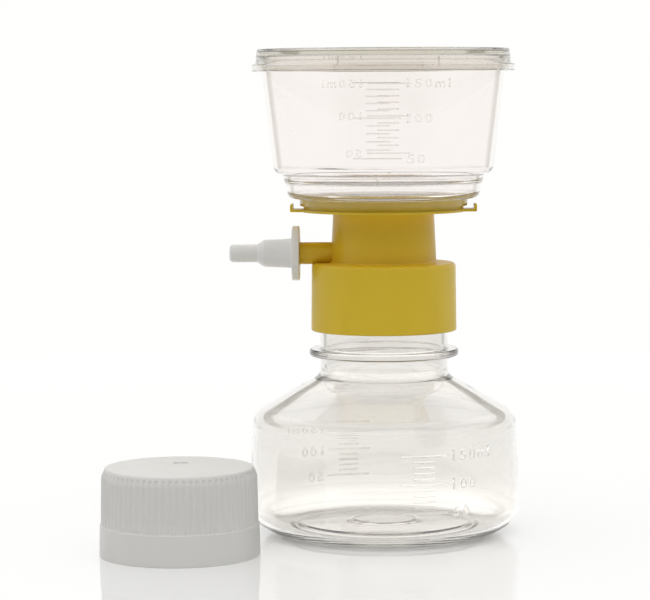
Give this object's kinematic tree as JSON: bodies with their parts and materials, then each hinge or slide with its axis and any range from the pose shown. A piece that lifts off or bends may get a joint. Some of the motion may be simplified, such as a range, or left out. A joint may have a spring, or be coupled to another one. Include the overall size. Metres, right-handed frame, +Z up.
{
  "type": "vacuum filtration unit",
  "caption": "Clear upper chamber with lid on a yellow threaded filter holder with a side hose adapter, screwed on a clear receiver bottle, with a ribbed white storage cap beside it.",
  "frame": {"origin": "centre of the bottle's foot, on the bottle's axis, at the level of the bench", "axes": "+Z up the bottle's axis, -X along the vacuum port towards the hose adapter's tip, -Y towards the front with the chamber's scale"},
  "size_m": [0.1345, 0.1139, 0.1591],
  "materials": {
    "clear_plastic": "clear polystyrene, glossy",
    "yellow_plastic": "opaque yellow polystyrene, satin gloss",
    "white_cap_plastic": "white polyethylene, satin",
    "white_adapter_plastic": "milky white polypropylene, satin",
    "white_support_plastic": "white polypropylene, matt",
    "membrane_film": "matt white filter film",
    "fibre": "soft white fibre",
    "seal_rubber": "pale soft elastomer"
  },
  "bodies": {
    "receiver": {"receiver_bottle": "clear_plastic"},
    "cap": {"storage_cap": "white_cap_plastic"},
    "gasket": {"neck_gasket": "seal_rubber"},
    "filter_head": {"filter_holder": "yellow_plastic", "port_plug": "fibre", "support_plate": "white_support_plastic", "membrane": "membrane_film", "upper_chamber": "clear_plastic"},
    "lid": {"chamber_lid": "clear_plastic"},
    "adapter": {"hose_adapter": "white_adapter_plastic"}
  },
  "joints": [
    {"name": "holder_lift", "type": "slide", "parent": "receiver", "child": "gasket", "axis": [0, 0, 1], "range_m": [0, 0.006]},
    {"name": "holder_turn", "type": "hinge", "parent": "gasket", "child": "filter_head", "pos_m": [0, 0, 0.0872], "axis": [0, 0, 1], "range_deg": [0, 540]},
    {"name": "lid_lift", "type": "slide", "parent": "filter_head", "child": "lid", "axis": [0, 0, 1], "range_m": [0, 0.03]},
    {"name": "adapter_pull", "type": "slide", "parent": "filter_head", "child": "adapter", "axis": [-1, 0, 0], "range_m": [0, 0.012]},
    {"name": "cap_lift", "type": "slide", "parent": "receiver", "child": "cap", "axis": [0, 0, 1], "range_m": [0, 0.05]}
  ],
  "couplings": [
    {"joint": "holder_lift", "follows": "holder_turn", "m_per_rad": 0.00063661}
  ]
}
